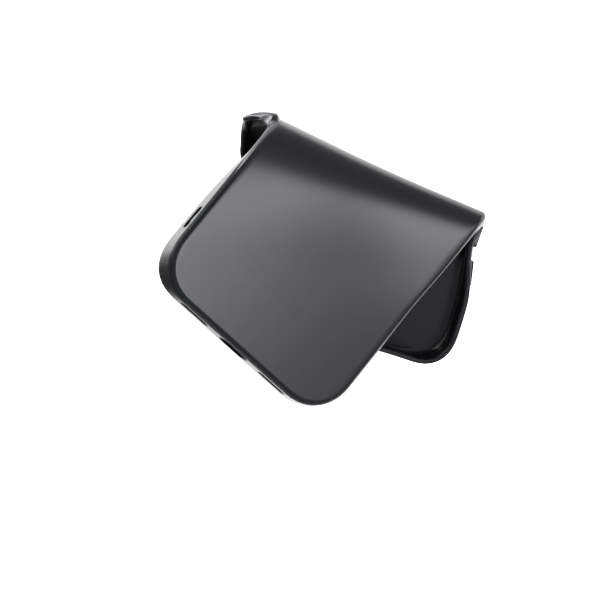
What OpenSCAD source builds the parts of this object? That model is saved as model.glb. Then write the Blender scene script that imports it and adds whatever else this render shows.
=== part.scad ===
// A soft phone case, bent double. One moulded shell: back panel, side walls, lip, button pads and cut-outs.
// The case is laid out flat and then folded about a crease that runs slantwise across it.
// Flat layout: x across the back, y from the bottom end to the camera end, h from the back in towards the phone.
// Lengths are in mm and angles in degrees. The half with the camera window lies flat on its back.

/* [Case] */
// Width over the side walls
case_width = 77; // [60:0.5:100]
// Length over the end walls
case_length = 153; // [120:0.5:190]
// Depth from the back to the top of the lip
case_depth = 10.6; // [8.5:0.1:16]
// Radius of the four corners, seen from the back
corner_radius = 15.5; // [8:0.5:22]
// Radius of the rounded edge between back and walls
edge_radius = 2; // [1:0.1:3]
// Thickness of the back panel
panel_thickness = 1.2; // [0.8:0.1:2.5]
// Thickness of the walls
wall_thickness = 1.2; // [1:0.1:3]
// How far the lip reaches in past the wall, over the screen's edge
lip_reach = 0.6; // [0.3:0.1:2]
// Height of the lip, from where the wall starts to thicken
lip_height = 2.6; // [2:0.1:4]
// Rounding of the rim
rim_radius = 0.6; // [0.3:0.05:0.6]
// Radius of the foot inside, between floor and walls
foot_radius = 2.4; // [1:0.1:3]

/* [Fold] */
// Distance from the bottom end to the crease along the left edge
crease_left = 75.1; // [50:0.1:110]
// The same along the right edge
crease_right = 94.6; // [50:0.1:110]
// How far the bottom half is turned over towards the camera half
fold_turn = 167; // [60:1:176]
// Length over which the bend is spread at mid-width: a larger value gives a rounder bend
bend_length = 8; // [5:0.1:14]
// Distance from mid-width to the point, past the right side, where the cone of the bend closes
fold_apex = 88.5; // [70:0.5:400]

/* [Left wall at the fold] */
// Outward lean of the wall where it has buckled out at the crease
left_flare = 62; // [30:1:75]
// Belly of the flared wall: how much more its middle leans out than its rim
left_belly = 8; // [0:0.5:12]
// Distance over which the flare dies away on the camera half
left_fade = 34; // [20:1:55]
// Distance past the crease, on the bottom half, at which the wall stands upright again
left_kink = 8.5; // [6:0.1:20]
// Length of the pleat in which it turns back
left_pleat = 4.5; // [3:0.1:6]
// Lean of the wall on the bottom half beside the pleat
left_tuck = -6; // [-15:1:10]
// Stretch of the flared wall's height
left_stretch = 1.14; // [1:0.01:1.3]
// Height that is left of the wall in the pleat, as a share of its full height
left_crush = 0.2; // [0.2:0.01:1]
// Distance over which the wall regains its full height past the pleat
left_crush_reach = 15; // [8:0.5:25]

/* [Right wall at the fold] */
// Outward lean of the wall on the bottom half, near the crease
right_flare = 20; // [0:1:35]
// Distance over which that lean dies away
right_fade = 46; // [30:1:70]
// Lean of the wall on the camera half, near the crease
right_tuck = -14; // [-16:1:10]
// Height that is left of the crushed wall at the crease, as a share of its full height
right_crush = 0.28; // [0.25:0.01:1]
// Distance over which the wall regains its full height
right_crush_reach = 21; // [12:0.5:30]

/* [Other walls] */
// Outward lean of the right wall near the camera end
right_far_lean = 8; // [-10:1:20]
// Outward lean of the walls at the bottom corners
corner_lean_bottom = 7; // [-10:1:20]
// Outward lean of the walls at the camera corners
corner_lean_camera = 9; // [-10:1:20]
// Lean of the camera end's wall at mid-width
end_lean_camera = -14; // [-20:1:20]

/* [Bottom end] */
// Width of the charging port's cut-out
port_width = 12; // [8:0.1:20]
// Height of the charging port's cut-out
port_height = 6; // [3:0.1:7]
// Width of each of the two long slots
slot_width = 12; // [3:0.1:18]
// Height of the slots
slot_height = 3.4; // [1.5:0.1:6]
// Distance from the middle of the end to the middle of each slot
slot_offset = 17.5; // [12:0.1:26]

/* [Left side] */
// Distance from the bottom end to the middle of the lanyard holes
lanyard_place = 23.4; // [20:0.1:60]
// Distance between the lanyard holes, middle to middle
lanyard_pitch = 6; // [4:0.1:10]
// Length of each lanyard hole
lanyard_hole_length = 3; // [1.5:0.1:5]
// Height of the lanyard holes
lanyard_hole_height = 3.6; // [1.5:0.1:6]
// Depth of the recess that the strap's bridge is sunk into
lanyard_recess = 0.4; // [0.2:0.05:0.8]
// Distance from the bottom end to the middle of the power button's pad
power_place = 112; // [90:0.5:135]
// Length of the power button's pad
power_length = 16; // [6:0.5:24]

/* [Right side] */
// Distance from the bottom end to the middle of the first volume button's pad
volume_place = 104.8; // [85:0.1:125]
// Distance between the two volume pads, middle to middle
volume_pitch = 13.6; // [10:0.1:20]
// Length of each volume pad
volume_length = 9.5; // [5:0.1:14]
// Height of all button pads
pad_height = 3.6; // [2:0.1:6]
// How far the button pads stand out from the wall
pad_rise = 0.9; // [0.3:0.1:2]

/* [Camera end] */
// Width and length of the camera window
camera_size = 30; // [10:0.5:45]
// Corner radius of the camera window
camera_corner = 7; // [2:0.5:12]
// Distance from the case's side and end to the camera window
camera_inset = 6.5; // [5:0.5:15]
// Diameter of the microphone hole in the end wall
mic_hole = 2; // [1:0.1:4]

/* [Hidden] */

// Height of the middle of the openings and pads
mid_height = (panel_thickness + case_depth - lip_height / 2) / 2;
// Fineness of the mesh, and the share of the rows that is spaced evenly: the rest gather at the crease
columns = 10;
arc_steps = 6;
bottom_rows = 36;
camera_rows = 30;
fold_steps = 120;
even_share = 0.35;
// The bend is cut off at this many times its own length on each side
bend_reach = 4.5;
// Up to this lean the rounded edge stays above the back's plane, and per degree beyond it may sink by this much
level_lean = 20;
sink_rate = 0.1;

function unit(v) = v / norm(v);
function smooth(t) = let (u = min(max(t, 0), 1)) u * u * (3 - 2 * u);
function cosh(u) = (exp(u) + exp(-u)) / 2;
function spin(v, axis, a) = v * cos(a) + cross(axis, v) * sin(a) + axis * ((axis * v) * (1 - cos(a)));

// Smooth steps between pairs of distance and value
function ease(d, keys, i = 0) =
    d <= keys[i][0] ? keys[i][1]
    : i + 1 == len(keys) ? keys[i][1]
    : d <= keys[i + 1][0]
      ? keys[i][1] + (keys[i + 1][1] - keys[i][1]) * smooth((d - keys[i][0]) / (keys[i + 1][0] - keys[i][0]))
    : ease(d, keys, i + 1);

// The fold: straight lines fan out from the apex of a cone, and the case turns about each of them in order.
// Each frame holds the line's direction, the direction along the case and the back's normal.
slant = atan2(crease_right - crease_left, case_width);
crease_mid = (crease_left + crease_right) / 2;
apex = [-fold_apex * cos(slant), fold_apex * sin(slant), 0];
softness_angle = bend_length / fold_apex;
fold_span = bend_reach * softness_angle * 180 / PI;
fold_step = 2 * fold_span / fold_steps;
fold_share = 2 * atan(exp(bend_reach)) - 2 * atan(exp(-bend_reach));
function bend(s) = fold_turn / fold_share / softness_angle / cosh(s / softness_angle * PI / 180);
function next_frame(f, s) =
    let (turn = f[2] - bend(s) * f[0], a = norm(turn) * fold_step) [for (v = f) spin(v, unit(turn), a)];
start_angle = fold_span - slant;
fold_frames = [
    for (
        i = 0,
        f = [
            [cos(start_angle), sin(start_angle), 0],
            [sin(start_angle), -cos(start_angle), 0],
            [0, 0, -1]
        ];
        i <= fold_steps;
        f = next_frame(f, (i + 0.5) * fold_step - fold_span),
        i = i + 1
    ) f
];

// Position in the folded case of a point of the flat layout
function place(x, y, h) =
    let (
        px = -x - apex[0],
        py = y - crease_mid - apex[1],
        reach = norm([px, py]),
        s = -slant - atan2(py, px),
        t = min(max((s + fold_span) / fold_step, 0), fold_steps - 0.0001),
        i = floor(t),
        f = fold_frames[i] * (1 - t + i) + fold_frames[i + 1] * (t - i),
        past = max(s - fold_span, 0) + min(s + fold_span, 0)
    )
    apex + reach * (f[0] * cos(past) + f[1] * sin(past)) - h * f[2];

// Distance from the crease, positive on the bottom half
function from_crease(x, y) = x * sin(slant) - (y - crease_mid) * cos(slant);

// Lean and height of the side walls, as pairs of distance from the crease and value
left_lean = [
    [-left_fade, 0],
    [-left_fade / 2, 0.87 * left_flare],
    [-left_fade / 4, left_flare],
    [left_kink - left_pleat, left_flare],
    [left_kink, left_tuck],
    [left_kink + left_fade, 0]
];
left_height = [
    [-0.9 * left_fade, 1],
    [-left_fade / 3, left_stretch],
    [left_kink - 2.2 * left_pleat, left_stretch],
    [left_kink - left_pleat / 3, left_crush],
    [left_kink + left_pleat / 3, left_crush],
    [left_kink + left_crush_reach, 1]
];
right_lean = [
    [-right_fade, 0.75 * right_far_lean],
    [-0.74 * right_fade, right_far_lean],
    [-right_crush_reach / 2, right_tuck],
    [right_crush_reach / 6, 1.2 * right_flare],
    [right_crush_reach / 2, right_flare],
    [right_fade / 2, right_flare],
    [right_fade, 0]
];
right_height = [[-right_crush_reach, 1], [0, right_crush], [right_crush_reach, 1]];

// Outward lean of the wall that stands at a point of the panel's edge
function lean(x, y, nx, ny) =
    let (d = from_crease(x, y), side = nx * nx, low = y < crease_mid)
    ease(d, nx > 0 ? right_lean : left_lean) * side
    + (low ? 0 : end_lean_camera) * (1 - side) * cos(180 * x / case_width)
    + (low ? corner_lean_bottom : corner_lean_camera) * 4 * nx * nx * ny * ny;

function height_share(x, y, nx) =
    let (d = from_crease(x, y), side = nx * nx) ease(d, nx > 0 ? right_height : left_height) * side + 1 - side;

// A point of the wall: w out from the panel's edge and h in from the back, before the wall leans.
// Its angle from the panel's edge is a, and b is the wall's own direction at that height.
function wall_point(x, y, nx, ny, w, h) =
    let (
        rim_lean = lean(x, y, nx, ny),
        share = height_share(x, y, nx),
        g = h > panel_thickness ? panel_thickness + (h - panel_thickness) * share : h,
        up = g / case_depth / share,
        steep = max(rim_lean - level_lean, 0),
        belly = 4 * left_belly * steep / (left_flare - level_lean),
        a = rim_lean + belly * up * (1 - up),
        b = a + atan(belly * up * (1 - 2 * up) * PI / 180),
        out = w * cos(b) + g * sin(a),
        deep = max(g * cos(a) - w * sin(b), -sink_rate * steep)
    )
    place(x + out * nx, y + out * ny, deep);

// Section of the wall, from the back round the lip to the floor
inner_w = edge_radius - wall_thickness;
rim_w = inner_w - lip_reach;
rim_cut = 0.3 * rim_radius;
foot_cut = 0.3 * foot_radius;
section = concat(
    [for (b = [0 : 22.5 : 90]) [edge_radius * sin(b), edge_radius * (1 - cos(b))]],
    [
        [edge_radius, (edge_radius + case_depth) / 2],
        [edge_radius, case_depth - rim_radius],
        [edge_radius - rim_cut, case_depth - rim_cut],
        [edge_radius - rim_radius, case_depth],
        [rim_w + rim_radius, case_depth],
        [rim_w + rim_cut, case_depth - rim_cut],
        [rim_w, case_depth - rim_radius],
        [rim_w, case_depth - lip_height / 2],
        [inner_w, case_depth - lip_height],
        [inner_w, (panel_thickness + foot_radius + case_depth - lip_height) / 2],
        [inner_w, panel_thickness + foot_radius],
        [inner_w - foot_cut, panel_thickness + foot_cut],
        [inner_w - foot_radius, panel_thickness]
    ]
);

// Rows across the panel: left y, right y, half width, and the angle of the edge's outward normal
bend_r = corner_radius - edge_radius;
half_flat = case_width / 2 - edge_radius;
far_arc = case_length - corner_radius;
function toward(a, b, g) = a + (b - a) * g;
rows = concat(
    [
        for (i = [0 : arc_steps])
            let (a = 90 * i / arc_steps, y = corner_radius - bend_r * cos(a))
            [y, y, half_flat - bend_r + bend_r * sin(a), a]
    ],
    [
        for (i = [1 : bottom_rows])
            let (e = i / bottom_rows, g = even_share * e + (1 - even_share) * (1 - (1 - e) * (1 - e)))
            [toward(corner_radius, crease_left, g), toward(corner_radius, crease_right, g), half_flat, 90]
    ],
    [
        for (i = [1 : camera_rows])
            let (e = i / camera_rows, g = even_share * e + (1 - even_share) * e * e)
            [toward(crease_left, far_arc, g), toward(crease_right, far_arc, g), half_flat, 90]
    ],
    [
        for (i = [arc_steps - 1 : -1 : 0])
            let (a = 90 * i / arc_steps, y = far_arc + bend_r * cos(a))
            [y, y, half_flat - bend_r + bend_r * sin(a), 180 - a]
    ]
);
last = len(rows) - 1;
across = columns + 1;
function panel_x(j, k) = rows[j][2] * (2 * k / columns - 1);
function panel_y(j, k) = toward(rows[j][0], rows[j][1], k / columns);

// The panel's edge, once round: row, column and outward normal of each station
edge = concat(
    [for (k = [0 : columns]) [0, k, 0, -1]],
    [for (j = [1 : last]) [j, columns, sin(rows[j][3]), -cos(rows[j][3])]],
    [for (k = [columns - 1 : -1 : 0]) [last, k, 0, 1]],
    [for (j = [last - 1 : -1 : 1]) [j, 0, -sin(rows[j][3]), -cos(rows[j][3])]]
);
stations = len(edge);
rings = len(section) - 1;

// Points: back of the panel, floor of the panel, then the rings of the wall
shrink_x = (half_flat + inner_w - foot_radius) / half_flat;
shrink_y = (case_length / 2 - edge_radius + inner_w - foot_radius) / (case_length / 2 - edge_radius);
back_points = [for (j = [0 : last], k = [0 : columns]) place(panel_x(j, k), panel_y(j, k), 0)];
floor_points = [
    for (j = [0 : last], k = [0 : columns])
        let (y = case_length / 2 + (panel_y(j, k) - case_length / 2) * shrink_y)
        place(panel_x(j, k) * shrink_x, y, panel_thickness)
];
ring_points = [
    for (m = [1 : rings - 1], e = edge)
        wall_point(panel_x(e[0], e[1]), panel_y(e[0], e[1]), e[2], e[3], section[m][0], section[m][1])
];
shell_points = concat(back_points, floor_points, ring_points);

function back_id(j, k) = j * across + k;
function floor_id(j, k) = (last + 1 + j) * across + k;
function ring_id(m, i) =
    let (e = edge[i % stations])
    m == 0 ? back_id(e[0], e[1])
    : m == rings ? floor_id(e[0], e[1])
    : 2 * (last + 1) * across + (m - 1) * stations + i % stations;

// Each four-sided patch becomes two triangles, split along its shorter diagonal
function halves(q) =
    norm(shell_points[q[0]] - shell_points[q[2]]) <= norm(shell_points[q[1]] - shell_points[q[3]])
    ? [[q[0], q[1], q[2]], [q[0], q[2], q[3]]]
    : [[q[0], q[1], q[3]], [q[1], q[2], q[3]]];
shell_faces = concat(
    [
        for (j = [0 : last - 1], k = [0 : columns - 1])
            each halves([back_id(j + 1, k), back_id(j + 1, k + 1), back_id(j, k + 1), back_id(j, k)])
    ],
    [
        for (j = [0 : last - 1], k = [0 : columns - 1])
            each halves([floor_id(j, k), floor_id(j, k + 1), floor_id(j + 1, k + 1), floor_id(j + 1, k)])
    ],
    [
        for (m = [0 : rings - 1], i = [0 : stations - 1])
            each halves([ring_id(m + 1, i + 1), ring_id(m + 1, i), ring_id(m, i), ring_id(m, i + 1)])
    ]
);

// Outline with rounded corners, centred, as pairs of width and height
function rounded(width, height, radius) =
    let (r = min(radius, width / 2 - 0.01, height / 2 - 0.01))
    [
        for (q = [[1, 1, 0], [-1, 1, 90], [-1, -1, 180], [1, -1, 270]], a = [0 : 22.5 : 90])
            [q[0] * (width / 2 - r) + r * cos(q[2] + a), q[1] * (height / 2 - r) + r * sin(q[2] + a)]
    ];

// A point of a straight wall, found by its side and its place along that side
function side_point(side, along, w, h) =
    side == "left" ? wall_point(-half_flat, along, -1, 0, w, h)
    : side == "right" ? wall_point(half_flat, along, 1, 0, w, h)
    : side == "bottom" ? wall_point(along, edge_radius, 0, -1, w, h)
    : wall_point(along, case_length - edge_radius, 0, 1, w, h);

// Points of a block that goes through a wall from w = outer to w = inner, shrunk by taper at its outer end
function block_points(side, along, width, height, outer, inner, taper = 0) = concat(
    [
        for (p = rounded(width - 2 * taper, height - 2 * taper, height))
            side_point(side, along + p[0], outer, mid_height + p[1])
    ],
    [for (p = rounded(width, height, height)) side_point(side, along + p[0], inner, mid_height + p[1])]
);
function pad_points(side, along, length) =
    block_points(side, along, length, pad_height, edge_radius + pad_rise, edge_radius - 0.4, 0.5);

power_points = pad_points("left", power_place, power_length);
volume_a_points = pad_points("right", volume_place, volume_length);
volume_b_points = pad_points("right", volume_place + volume_pitch, volume_length);

// The case rests on z = 0 with its box centred on x = 0 and y = 0
all_points = concat(shell_points, power_points, volume_a_points, volume_b_points);
low_corner = [for (a = [0 : 2]) min([for (p = all_points) p[a]])];
high_corner = [for (a = [0 : 2]) max([for (p = all_points) p[a]])];
middle = (low_corner + high_corner) / 2;
origin = [middle[0], middle[1], low_corner[2]];

module solid_of(points) {
    hull() polyhedron(points = points, faces = [[for (i = [0 : len(points) - 1]) i]]);
}

module wall_cut(side, along, width, height) {
    solid_of(block_points(side, along, width, height, edge_radius + 2, rim_w - 2));
}

// Cut-outs of the bottom end
module bottom_cuts() {
    wall_cut("bottom", 0, port_width, port_height);
    wall_cut("bottom", -slot_offset, slot_width, slot_height);
    wall_cut("bottom", slot_offset, slot_width, slot_height);
}

// Two small holes with a sunken bridge between them, for a strap
module lanyard_cuts() {
    reach = lanyard_pitch + lanyard_hole_length;
    solid_of(
        block_points(
            "left", lanyard_place, reach, lanyard_hole_height, edge_radius + 2, edge_radius - lanyard_recess
        )
    );
    wall_cut("left", lanyard_place - lanyard_pitch / 2, lanyard_hole_length, lanyard_hole_height);
    wall_cut("left", lanyard_place + lanyard_pitch / 2, lanyard_hole_length, lanyard_hole_height);
}

// Window in the back for the cameras
module camera_cut() {
    mid_x = camera_inset + camera_size / 2 - case_width / 2;
    mid_y = case_length - camera_inset - camera_size / 2;
    outline = rounded(camera_size, camera_size, camera_corner);
    solid_of(
        concat(
            [for (p = outline) place(mid_x + p[0], mid_y + p[1], -1)],
            [for (p = outline) place(mid_x + p[0], mid_y + p[1], panel_thickness + 1)]
        )
    );
}

module button_pads() {
    solid_of(power_points);
    solid_of(volume_a_points);
    solid_of(volume_b_points);
}

module case_shell() {
    color([0.085, 0.085, 0.095])
        translate(-origin)
            difference() {
                union() {
                    polyhedron(points = shell_points, faces = shell_faces, convexity = 8);
                    button_pads();
                }
                bottom_cuts();
                lanyard_cuts();
                wall_cut("top", 0, mic_hole, mic_hole);
                camera_cut();
            }
}

case_shell();
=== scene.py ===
"""A soft black phone case, bent double, lying on the half with the camera window."""
import bpy
import bmesh
import numpy as np
from mathutils import Matrix, Vector


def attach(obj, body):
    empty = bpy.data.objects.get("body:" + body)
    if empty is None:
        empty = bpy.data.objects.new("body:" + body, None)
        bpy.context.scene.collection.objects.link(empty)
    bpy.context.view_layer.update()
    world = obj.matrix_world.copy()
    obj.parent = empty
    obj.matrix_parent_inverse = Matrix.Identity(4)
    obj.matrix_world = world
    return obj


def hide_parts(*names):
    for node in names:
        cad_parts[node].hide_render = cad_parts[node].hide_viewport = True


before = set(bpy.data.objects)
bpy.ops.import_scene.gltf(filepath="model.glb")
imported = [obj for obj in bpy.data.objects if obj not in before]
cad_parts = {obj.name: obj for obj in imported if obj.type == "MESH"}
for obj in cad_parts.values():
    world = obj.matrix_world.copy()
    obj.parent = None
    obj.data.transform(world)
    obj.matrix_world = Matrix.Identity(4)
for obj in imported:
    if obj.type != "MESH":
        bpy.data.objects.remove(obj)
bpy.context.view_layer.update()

# Sizes of the flat case in millimetres, as the solid model has them
WIDTH = 77.0
LENGTH = 153.0
DEPTH = 10.6
CORNER_R = 15.5
EDGE_R = 2.0
PANEL = 1.2
WALL = 1.2
LIP = 0.6
LIP_HEIGHT = 2.6
RIM_R = 0.6
FOOT = 2.4

# The fold, which ends on each side of the crease at BEND_REACH times its softness
CREASE_LEFT = 75.1
CREASE_RIGHT = 94.6
TURN = np.radians(167)
SOFTNESS = 8.0
APEX = 88.5
BEND_REACH = 4.5

# Side walls where they buckle, are crushed or lean
LEFT_FLARE = 62
LEFT_BELLY = 8
LEFT_FADE = 34
LEFT_KINK = 8.5
LEFT_PLEAT = 4.5
LEFT_TUCK = -6
LEFT_STRETCH = 1.14
LEFT_CRUSH = 0.2
LEFT_CRUSH_REACH = 15
RIGHT_FLARE = 20
RIGHT_FADE = 46
RIGHT_TUCK = -14
RIGHT_FAR_LEAN = 8
RIGHT_CRUSH = 0.28
RIGHT_CRUSH_REACH = 21

# Lean in degrees and height of the side walls, as pairs of distance from the crease and value.
# The plain factors are shares of the named sizes that follow the photograph.
LEFT_LEAN = [
    (-LEFT_FADE, 0),
    (-LEFT_FADE / 2, 0.87 * LEFT_FLARE),
    (-LEFT_FADE / 4, LEFT_FLARE),
    (LEFT_KINK - LEFT_PLEAT, LEFT_FLARE),
    (LEFT_KINK, LEFT_TUCK),
    (LEFT_KINK + LEFT_FADE, 0),
]
LEFT_HEIGHT = [
    (-0.9 * LEFT_FADE, 1),
    (-LEFT_FADE / 3, LEFT_STRETCH),
    (LEFT_KINK - 2.2 * LEFT_PLEAT, LEFT_STRETCH),
    (LEFT_KINK - LEFT_PLEAT / 3, LEFT_CRUSH),
    (LEFT_KINK + LEFT_PLEAT / 3, LEFT_CRUSH),
    (LEFT_KINK + LEFT_CRUSH_REACH, 1),
]
RIGHT_LEAN = [
    (-RIGHT_FADE, 0.75 * RIGHT_FAR_LEAN),
    (-0.74 * RIGHT_FADE, RIGHT_FAR_LEAN),
    (-RIGHT_CRUSH_REACH / 2, RIGHT_TUCK),
    (RIGHT_CRUSH_REACH / 6, 1.2 * RIGHT_FLARE),
    (RIGHT_CRUSH_REACH / 2, RIGHT_FLARE),
    (RIGHT_FADE / 2, RIGHT_FLARE),
    (RIGHT_FADE, 0),
]
RIGHT_HEIGHT = [(-RIGHT_CRUSH_REACH, 1), (0, RIGHT_CRUSH), (RIGHT_CRUSH_REACH, 1)]
CORNER_LEAN_BOTTOM = 7
CORNER_LEAN_CAMERA = 9
END_LEAN_CAMERA = -14

# A wall that leans out beyond LEVEL_LEAN curls, and may sink past the back by SINK_RATE a degree
LEVEL_LEAN = 20
SINK_RATE = 0.1

# Hollow that the thumb has pressed into the back of the bottom half: middle, reach, depth, and the
# length over which it dies out at the bottom end
HOLLOW_X = 23.5
HOLLOW_Y = 70.0
HOLLOW_REACH_X = 36.0
HOLLOW_REACH_Y = 16.5
HOLLOW_DEPTH = 1.3
HOLLOW_FADE = 18.0

# Openings and pads. A pair is length and height, or place along the side and length.
PORT = (12.0, 6.0)
SLOT = (12.0, 3.4)
SLOT_OFFSET = 17.5
LANYARD_PLACE = 23.4
LANYARD_PITCH = 6.0
LANYARD_HOLE = (3.0, 3.6)
LANYARD_RECESS = 0.4
POWER = (112.0, 16.0)
VOLUME = (104.8, 9.5)
VOLUME_PITCH = 13.6
PAD_HEIGHT = 3.6
PAD_RISE = 0.9
PAD_TAPER = 0.5
PAD_ROOT = 0.4
WINDOW = 30.0
WINDOW_R = 7.0
WINDOW_INSET = 6.5
MIC = 2.0

# How far the cutters reach past the walls and the panel
PAST_WALL = 2.0
PAST_PANEL = 1.0

# Fineness of the mesh. EVEN_ROWS is the share of the rows' spacing that is even; the rest crowds
# them towards the crease. SHORTEST is half the straight piece that a rounded side keeps.
COLUMNS = 56
ARC_STEPS = 12
ROUND_STEPS = 8
RIM_STEPS = 5
BOTTOM_ROWS = 110
CAMERA_ROWS = 84
EVEN_ROWS = 0.35
FOLD_STEPS = 900
SHORTEST = 0.01
SHARP_ANGLE = np.radians(40)

# Half the flat panel's width, the wall's and the rim's inner faces out from the panel's edge, and
# the height of the openings' middle
HALF_FLAT = WIDTH / 2 - EDGE_R
INNER_W = EDGE_R - WALL
RIM_W = INNER_W - LIP
MID_HEIGHT = (PANEL + DEPTH - LIP_HEIGHT / 2) / 2

# Direction out of the case for each side
SIDES = {"left": (-1, 0), "right": (1, 0), "bottom": (0, -1), "top": (0, 1)}

# The photograph's view: rotation from the row's axes to the camera's, distance and picture scale
VIEW_TURN = Vector((0.1158, -0.2172, 2.8842))
VIEW_CENTRE = np.array([0.0, 35.0, 15.0])
VIEW_DISTANCE = 800.0
VIEW_SCALE = 3.0001
VIEW_POINT = (360.64, 254.69)
PICTURE = 592
SENSOR = 36

# Stage, in metres: half the floor's side, the softboxes' colour, the end of the upright cards
# that is away from the camera, and the greys of the cards
FLOOR_HALF = 3.0
LIGHT_COLOUR = (0.98, 0.985, 1.015)
CARD_FOOT = -0.1
DARK = 0.05
DIM = 0.30


def smooth(t):
    t = np.clip(t, 0, 1)
    return t * t * (3 - 2 * t)


def ease(d, keys):
    """Smooth steps between pairs of distance and value."""
    at = np.array([k[0] for k in keys], float)
    value = np.array([k[1] for k in keys], float)
    i = np.clip(np.searchsorted(at, d) - 1, 0, len(at) - 2)
    return value[i] + (value[i + 1] - value[i]) * smooth((d - at[i]) / (at[i + 1] - at[i]))


def hollow(x, y):
    """Depth of the hollow in the back, which dies out at the side edges and the bottom end."""
    across = (x - HOLLOW_X) / HOLLOW_REACH_X
    along = (y - HOLLOW_Y) / HOLLOW_REACH_Y
    edge = (1 - (x / HALF_FLAT) ** 2) * (1 - np.exp(-((y / HOLLOW_FADE) ** 2)))
    return HOLLOW_DEPTH * np.exp(-(across ** 2 + along ** 2) / 2) * edge


class Fold:
    """Straight lines fan out from the apex of a cone, and the case turns about each of them in order."""

    def __init__(self):
        self.slant = np.arctan2(CREASE_RIGHT - CREASE_LEFT, WIDTH)
        self.mid = (CREASE_LEFT + CREASE_RIGHT) / 2
        self.apex = np.array([-APEX * np.cos(self.slant), APEX * np.sin(self.slant), 0])
        soft = SOFTNESS / APEX
        self.span = BEND_REACH * soft
        self.step = 2 * self.span / FOLD_STEPS
        share = 2 * np.arctan(np.exp(BEND_REACH)) - 2 * np.arctan(np.exp(-BEND_REACH))
        start = self.span - self.slant
        f = np.array([[np.cos(start), np.sin(start), 0], [np.sin(start), -np.cos(start), 0], [0, 0, -1.0]])
        frames = [f]
        for i in range(FOLD_STEPS):
            s = (i + 0.5) * self.step - self.span
            turn = f[2] - TURN / share / soft / np.cosh(s / soft) * f[0]
            angle = np.linalg.norm(turn) * self.step
            axis = turn / np.linalg.norm(turn)
            swung = f * np.cos(angle) + np.cross(axis, f) * np.sin(angle)
            f = swung + np.outer(f @ axis, axis) * (1 - np.cos(angle))
            frames.append(f)
        self.frames = np.array(frames)

    def place(self, x, y, h):
        """Position in the folded case of points of the flat layout, in millimetres."""
        x, y, h = np.broadcast_arrays(np.asarray(x, float), np.asarray(y, float), np.asarray(h, float))
        px = -x - self.apex[0]
        py = y - self.mid - self.apex[1]
        reach = np.hypot(px, py)[..., None]
        s = -self.slant - np.arctan2(py, px)
        t = np.clip((s + self.span) / self.step, 0, FOLD_STEPS - 1e-6)
        i = t.astype(int)
        part = (t - i)[..., None, None]
        f = self.frames[i] * (1 - part) + self.frames[i + 1] * part
        past = (np.maximum(s - self.span, 0) + np.minimum(s + self.span, 0))[..., None]
        line = f[..., 0, :] * np.cos(past) + f[..., 1, :] * np.sin(past)
        return self.apex + reach * line - h[..., None] * f[..., 2, :]

    def from_crease(self, x, y):
        """Distance from the crease, positive on the bottom half."""
        return x * np.sin(self.slant) - (y - self.mid) * np.cos(self.slant)

    def lean(self, x, y, nx, ny):
        """Outward lean of the wall in degrees at a point of the panel's edge."""
        d = self.from_crease(x, y)
        side = nx * nx
        low = y < self.mid
        wall = np.where(nx > 0, ease(d, RIGHT_LEAN), ease(d, LEFT_LEAN)) * side
        end = np.where(low, 0, END_LEAN_CAMERA) * (1 - side) * np.cos(np.pi * x / WIDTH)
        corner = np.where(low, CORNER_LEAN_BOTTOM, CORNER_LEAN_CAMERA) * 4 * nx ** 2 * ny ** 2
        return wall + end + corner

    def wall(self, x, y, nx, ny, w, h):
        """A point of the wall: w out from the panel's edge and h in from the back, before it leans."""
        x, y, nx, ny, w, h = np.broadcast_arrays(*(np.asarray(v, float) for v in (x, y, nx, ny, w, h)))
        rim_lean = self.lean(x, y, nx, ny)
        d = self.from_crease(x, y)
        side = nx * nx
        share = np.where(nx > 0, ease(d, RIGHT_HEIGHT), ease(d, LEFT_HEIGHT)) * side + 1 - side
        g = np.where(h > PANEL, PANEL + (h - PANEL) * share, h)
        up = g / DEPTH / share
        steep = np.maximum(rim_lean - LEVEL_LEAN, 0)
        belly = 4 * np.radians(LEFT_BELLY) * steep / (LEFT_FLARE - LEVEL_LEAN)
        a = np.radians(rim_lean) + belly * up * (1 - up)
        b = a + np.arctan(belly * up * (1 - 2 * up))
        out = w * np.cos(b) + g * np.sin(a)
        deep = np.maximum(g * np.cos(a) - w * np.sin(b), -SINK_RATE * steep)
        return self.place(x + out * nx, y + out * ny, deep)


def arc(cw, ch, r, a0, a1, steps):
    """Points (w, h) of an arc about (cw, ch), from angle a0 to a1 in degrees."""
    a = np.radians(np.linspace(a0, a1, steps + 1))
    return [(cw + r * np.cos(v), ch + r * np.sin(v)) for v in a]


def wall_section():
    """Section of the wall, from the back round the lip to the floor, as (w, h)."""
    top = DEPTH - RIM_R
    slope_top = DEPTH - LIP_HEIGHT / 2
    slope_foot = DEPTH - LIP_HEIGHT
    foot_top = PANEL + FOOT
    points = arc(0, EDGE_R, EDGE_R, -90, 0, ROUND_STEPS)
    points += [(EDGE_R, EDGE_R + (top - EDGE_R) * t) for t in (0.2, 0.4, 0.6, 0.8)]
    points += arc(EDGE_R - RIM_R, top, RIM_R, 0, 90, RIM_STEPS)
    points += arc(RIM_W + RIM_R, top, RIM_R, 90, 180, RIM_STEPS)
    for t in (0, 0.25, 0.5, 0.75):
        points.append((RIM_W + (INNER_W - RIM_W) * smooth(t), slope_top + (slope_foot - slope_top) * t))
    points += [(INNER_W, foot_top + (slope_foot - foot_top) * t) for t in (1, 0.75, 0.5, 0.25)]
    points += arc(INNER_W - FOOT, foot_top, FOOT, 0, -90, ROUND_STEPS)
    return np.array(points)


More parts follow.
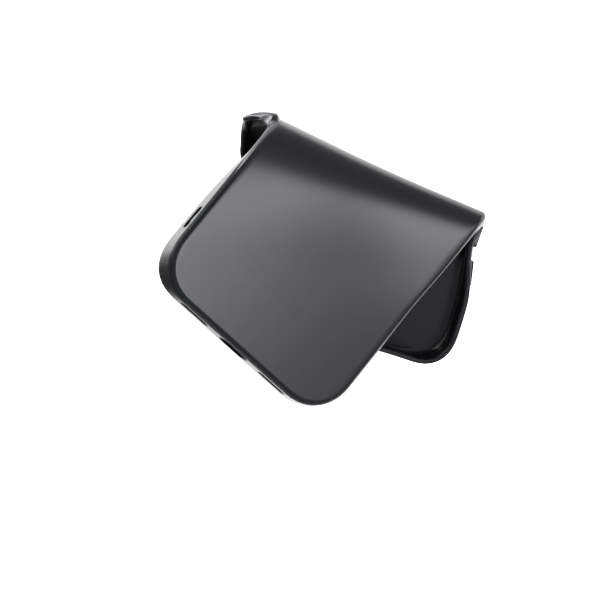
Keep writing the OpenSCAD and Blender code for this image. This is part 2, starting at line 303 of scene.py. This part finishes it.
def panel_rows():
    """Rows across the panel: left y, right y, half width and the edge's normal angle."""
    bend_r = CORNER_R - EDGE_R
    far = LENGTH - CORNER_R
    a = np.linspace(0, np.pi / 2, ARC_STEPS + 1)
    low = CORNER_R - bend_r * np.cos(a)
    half = HALF_FLAT - bend_r + bend_r * np.sin(a)
    e = np.arange(1, BOTTOM_ROWS + 1) / BOTTOM_ROWS
    near = EVEN_ROWS * e + (1 - EVEN_ROWS) * (1 - (1 - e) ** 2)
    e = np.arange(1, CAMERA_ROWS + 1) / CAMERA_ROWS
    beyond = EVEN_ROWS * e + (1 - EVEN_ROWS) * e * e

    def side(crease):
        parts = [low, CORNER_R + (crease - CORNER_R) * near, crease + (far - crease) * beyond]
        return np.concatenate(parts + [LENGTH - low[::-1][1:]])

    straight = BOTTOM_ROWS + CAMERA_ROWS
    halves = np.concatenate([half, np.full(straight, HALF_FLAT), half[::-1][1:]])
    angles = np.concatenate([a, np.full(straight, np.pi / 2), np.pi - a[::-1][1:]])
    return side(CREASE_LEFT), side(CREASE_RIGHT), halves, angles


def shell_mesh(fold):
    """Vertices and quads of the shell without its openings, in millimetres."""
    left, right, half, angle = panel_rows()
    rows = len(left)
    across = COLUMNS + 1
    t = np.linspace(0, 1, across)
    x = half[:, None] * (2 * t - 1)
    y = left[:, None] * (1 - t) + right[:, None] * t
    shrink_x = (HALF_FLAT + INNER_W - FOOT) / HALF_FLAT
    shrink_y = (LENGTH / 2 - EDGE_R + INNER_W - FOOT) / (LENGTH / 2 - EDGE_R)
    back = fold.place(x, y, hollow(x, y))
    floor = fold.place(x * shrink_x, LENGTH / 2 + (y - LENGTH / 2) * shrink_y, PANEL + hollow(x, y))
    edge = [(0, k, 0, -1) for k in range(across)]
    edge += [(j, COLUMNS, np.sin(angle[j]), -np.cos(angle[j])) for j in range(1, rows)]
    edge += [(rows - 1, k, 0, 1) for k in range(COLUMNS - 1, -1, -1)]
    edge += [(j, 0, -np.sin(angle[j]), -np.cos(angle[j])) for j in range(rows - 2, 0, -1)]
    ej, ek, nx, ny = (np.array(column) for column in zip(*edge))
    inside = wall_section()[1:-1]
    rings = fold.wall(x[ej, ek], y[ej, ek], nx, ny, inside[:, :1], inside[:, 1:])
    verts = np.concatenate([back.reshape(-1, 3), floor.reshape(-1, 3), rings.reshape(-1, 3)])
    grid = np.arange(rows * across).reshape(rows, across)
    under = grid + rows * across
    stations = len(edge)
    ring_ids = 2 * rows * across + np.arange(len(inside) * stations).reshape(len(inside), stations)
    loops = np.concatenate([grid[ej, ek][None], ring_ids, under[ej, ek][None]])
    a, b, c, d = grid[:-1, :-1], grid[:-1, 1:], grid[1:, 1:], grid[1:, :-1]
    quads = [np.stack([a, b, c, d], -1).reshape(-1, 4)]
    a, b, c, d = under[:-1, :-1], under[1:, :-1], under[1:, 1:], under[:-1, 1:]
    quads.append(np.stack([a, b, c, d], -1).reshape(-1, 4))
    turned = np.roll(loops, -1, 1)
    quads.append(np.stack([turned[:-1], loops[:-1], loops[1:], turned[1:]], -1).reshape(-1, 4))
    return verts, np.concatenate(quads)


def rounded(width, height, radius):
    """Outline with rounded corners, centred."""
    r = min(radius, width / 2 - SHORTEST, height / 2 - SHORTEST)
    points = []
    for sx, sy, turn in ((1, 1, 0), (-1, 1, 90), (-1, -1, 180), (1, -1, 270)):
        points += arc(sx * (width / 2 - r), sy * (height / 2 - r), r, turn, turn + 90, ROUND_STEPS)
    return np.array(points)


def side_points(fold, side, along, w, h):
    """Points of a straight wall, found by their side and their place along it."""
    nx, ny = SIDES[side]
    if nx:
        return fold.wall(nx * HALF_FLAT, along, nx, ny, w, h)
    return fold.wall(along, EDGE_R if ny < 0 else LENGTH - EDGE_R, nx, ny, w, h)


def block(fold, side, along, size, outer, inner, taper=0.0):
    """Points of a block that goes through a wall from w = outer to w = inner."""
    small = rounded(size[0] - 2 * taper, size[1] - 2 * taper, size[1])
    full = rounded(size[0], size[1], size[1])
    return np.concatenate([
        side_points(fold, side, along + small[:, 0], outer, MID_HEIGHT + small[:, 1]),
        side_points(fold, side, along + full[:, 0], inner, MID_HEIGHT + full[:, 1]),
    ])


def through(fold, side, along, size):
    return block(fold, side, along, size, EDGE_R + PAST_WALL, RIM_W - PAST_WALL)


def pad(fold, side, along, length):
    return block(fold, side, along, (length, PAD_HEIGHT), EDGE_R + PAD_RISE, EDGE_R - PAD_ROOT, PAD_TAPER)


def cutters(fold):
    """One cloud of points for each opening; its hull is what is cut away."""
    recess = (LANYARD_PITCH + LANYARD_HOLE[0], LANYARD_HOLE[1])
    outline = rounded(WINDOW, WINDOW, WINDOW_R)
    wx = WINDOW_INSET + WINDOW / 2 - WIDTH / 2 + outline[:, 0]
    wy = LENGTH - WINDOW_INSET - WINDOW / 2 + outline[:, 1]
    return [
        through(fold, "bottom", 0, PORT),
        through(fold, "bottom", -SLOT_OFFSET, SLOT),
        through(fold, "bottom", SLOT_OFFSET, SLOT),
        block(fold, "left", LANYARD_PLACE, recess, EDGE_R + PAST_WALL, EDGE_R - LANYARD_RECESS),
        through(fold, "left", LANYARD_PLACE - LANYARD_PITCH / 2, LANYARD_HOLE),
        through(fold, "left", LANYARD_PLACE + LANYARD_PITCH / 2, LANYARD_HOLE),
        through(fold, "top", 0, (MIC, MIC)),
        np.concatenate([fold.place(wx, wy, -PAST_PANEL), fold.place(wx, wy, PANEL + PAST_PANEL)]),
    ]


def pads(fold):
    return [
        pad(fold, "left", *POWER),
        pad(fold, "right", *VOLUME),
        pad(fold, "right", VOLUME[0] + VOLUME_PITCH, VOLUME[1]),
    ]


def new_object(name, verts, faces=()):
    mesh = bpy.data.meshes.new(name)
    mesh.from_pydata([tuple(v) for v in verts], [], [tuple(int(i) for i in f) for f in faces])
    obj = bpy.data.objects.new(name, mesh)
    bpy.context.collection.objects.link(obj)
    return obj


def hull_object(name, points):
    obj = new_object(name, points)
    bm = bmesh.new()
    bm.from_mesh(obj.data)
    bmesh.ops.convex_hull(bm, input=bm.verts)
    loose = [v for v in bm.verts if not v.link_faces]
    bmesh.ops.delete(bm, geom=loose, context="VERTS")
    bm.to_mesh(obj.data)
    bm.free()
    return obj


def combine(obj, tools, operation):
    """Applies one boolean for each tool and removes the tools."""
    for tool in tools:
        step = obj.modifiers.new("step", "BOOLEAN")
        step.operation = operation
        step.solver = "MANIFOLD"
        step.object = tool
    graph = bpy.context.evaluated_depsgraph_get()
    result = bpy.data.meshes.new_from_object(obj.evaluated_get(graph))
    obj.modifiers.clear()
    obj.data = result
    for tool in tools:
        bpy.data.objects.remove(tool)


def to_row(points, shift):
    """Millimetres of the folded layout to metres of the row."""
    return (points + shift) * 0.001


def new_material(name, colour):
    """A material and its shader, in one colour."""
    material = bpy.data.materials.new(name)
    material.use_nodes = True
    skin = material.node_tree.nodes["Principled BSDF"]
    skin.inputs["Base Color"].default_value = (*colour, 1)
    return material, skin


def soft_black():
    """Frosted black plastic: a soft, wide gloss over a near-black body."""
    material, skin = new_material("soft_black", (0.012, 0.012, 0.014))
    nodes = material.node_tree.nodes
    links = material.node_tree.links
    skin.inputs["Roughness"].default_value = 0.27
    skin.inputs["IOR"].default_value = 1.5
    grain = nodes.new("ShaderNodeTexNoise")
    grain.inputs["Scale"].default_value = 2600
    grain.inputs["Detail"].default_value = 2
    place = nodes.new("ShaderNodeTexCoord")
    bump = nodes.new("ShaderNodeBump")
    bump.inputs["Strength"].default_value = 0.12
    bump.inputs["Distance"].default_value = 0.0001
    links.new(place.outputs["Object"], grain.inputs["Vector"])
    links.new(grain.outputs["Fac"], bump.inputs["Height"])
    links.new(bump.outputs["Normal"], skin.inputs["Normal"])
    return material


def make_case():
    """The case, lying on the floor; returns the shift from the folded layout to the row."""
    fold = Fold()
    verts, quads = shell_mesh(fold)
    low = verts.min(0)
    high = verts.max(0)
    shift = -np.array([(low[0] + high[0]) / 2, (low[1] + high[1]) / 2, low[2]])
    case = new_object("case", to_row(verts, shift), quads)
    raised = [hull_object("pad", to_row(p, shift)) for p in pads(fold)]
    combine(case, raised, "UNION")
    cuts = [hull_object("cut", to_row(p, shift)) for p in cutters(fold)]
    combine(case, cuts, "DIFFERENCE")
    case.data.materials.clear()
    case.data.materials.append(soft_black())
    case.data.shade_smooth()
    case.data.set_sharp_from_angle(angle=SHARP_ANGLE)
    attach(case, "root")
    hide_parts("case_shell")
    return shift


def make_camera(shift):
    """The photograph's camera; returns the rotation from the row's axes to the camera's."""
    turn = np.array(Matrix.Rotation(VIEW_TURN.length, 3, VIEW_TURN.normalized()))
    focal = VIEW_SCALE * VIEW_DISTANCE
    off_x = (PICTURE / 2 - VIEW_POINT[0]) / focal
    off_y = (VIEW_POINT[1] - PICTURE / 2) / focal
    ahead = turn.T @ np.array([off_x, off_y, -1.0])
    back = -ahead / np.linalg.norm(ahead)
    side = turn.T @ np.array([1.0, 0, 0])
    side = side - back * (side @ back)
    side = side / np.linalg.norm(side)
    up = np.cross(back, side)
    eye = to_row(VIEW_CENTRE + turn.T @ np.array([0, 0, VIEW_DISTANCE]), shift)
    data = bpy.data.cameras.new("camera")
    data.sensor_width = SENSOR
    data.lens = focal / PICTURE * SENSOR
    data.clip_start = 0.05
    camera = bpy.data.objects.new("camera", data)
    bpy.context.collection.objects.link(camera)
    camera.matrix_world = Matrix.Translation(eye) @ Matrix(np.stack([side, up, back], 1).tolist()).to_4x4()
    bpy.context.scene.camera = camera
    return turn


def make_floor():
    corners = [(x * FLOOR_HALF, y * FLOOR_HALF, 0) for x, y in ((-1, -1), (1, -1), (1, 1), (-1, 1))]
    floor = new_object("floor", corners, [(0, 1, 2, 3)])
    paint, skin = new_material("pale_floor", (0.8, 0.8, 0.8))
    skin.inputs["Roughness"].default_value = 0.9
    skin.inputs["Emission Color"].default_value = (1, 1, 1, 1)
    skin.inputs["Emission Strength"].default_value = 2.0
    floor.data.materials.append(paint)


def softbox(turn, name, toward, distance, width, height, roll, power):
    """An area light in a direction given in the camera's axes, rolled from level by some degrees."""
    back = np.array(toward, float) / np.linalg.norm(toward)
    level = np.cross((0, 1, 0), back)
    level = level / np.linalg.norm(level)
    side = level * np.cos(np.radians(roll)) + np.cross(back, level) * np.sin(np.radians(roll))
    axes = turn.T @ np.stack([side, np.cross(back, side), back], 1)
    data = bpy.data.lights.new(name, "AREA")
    data.shape = "RECTANGLE"
    data.size = width
    data.size_y = height
    data.energy = power
    data.color = LIGHT_COLOUR
    light = bpy.data.objects.new(name, data)
    bpy.context.collection.objects.link(light)
    light.matrix_world = Matrix.Translation(axes[:, 2] * distance) @ Matrix(axes.tolist()).to_4x4()
    light.visible_camera = False
    return light


def card(turn, corners, grey):
    """A card with four corners in the camera's axes, which only reflections show."""
    sheet = new_object("card", np.array(corners) @ turn, [(0, 1, 2, 3)])
    paint, _ = new_material("card", (grey, grey, grey))
    sheet.data.materials.append(paint)
    sheet.visible_camera = False
    sheet.visible_diffuse = False
    sheet.visible_shadow = False


def upright(turn, a, b, height, grey):
    """A card that stands on the line from a to b, seen edge on from the camera."""
    card(turn, [(*a, CARD_FOOT), (*b, CARD_FOOT), (*b, height), (*a, height)], grey)


def make_world():
    world = bpy.data.worlds.new("studio")
    world.use_nodes = True
    sky = world.node_tree.nodes["Background"]
    sky.inputs["Color"].default_value = (0.93, 0.97, 1.06, 1)
    sky.inputs["Strength"].default_value = 0.36
    bpy.context.scene.world = world
    bpy.context.scene.view_settings.view_transform = "Standard"


def make_stage(turn):
    """A pale floor, two softboxes, four cards that keep reflections dark, and dim light all round."""
    make_floor()
    # The back of the bent half reflects the key strip, and the ear by the crease the small back light
    softbox(turn, "key", (0.60, 0.015, 0.80), 0.94, 0.70, 0.12, 49, 3.2)
    softbox(turn, "back", (-0.70, 0.68, 0.22), 0.25, 0.10, 0.20, 0, 1.0).visible_diffuse = False
    # At the picture's left, along the crest, under the back light, and under the bottom end
    upright(turn, (-0.102, -0.12), (-0.090, 0.02), 0.08, DARK)
    upright(turn, (0.004, 0.072), (0.095, 0.037), 0.05, DIM)
    upright(turn, (-0.032, 0.040), (-0.16, 0.040), 0.10, DARK)
    under = [(-0.10, 0.01), (-0.10, -0.13), (0.05, -0.15), (0.0, -0.075)]
    card(turn, [(*corner, 0.006) for corner in under], DARK)
    make_world()


shift = make_case()
turn = make_camera(shift)
make_stage(turn)
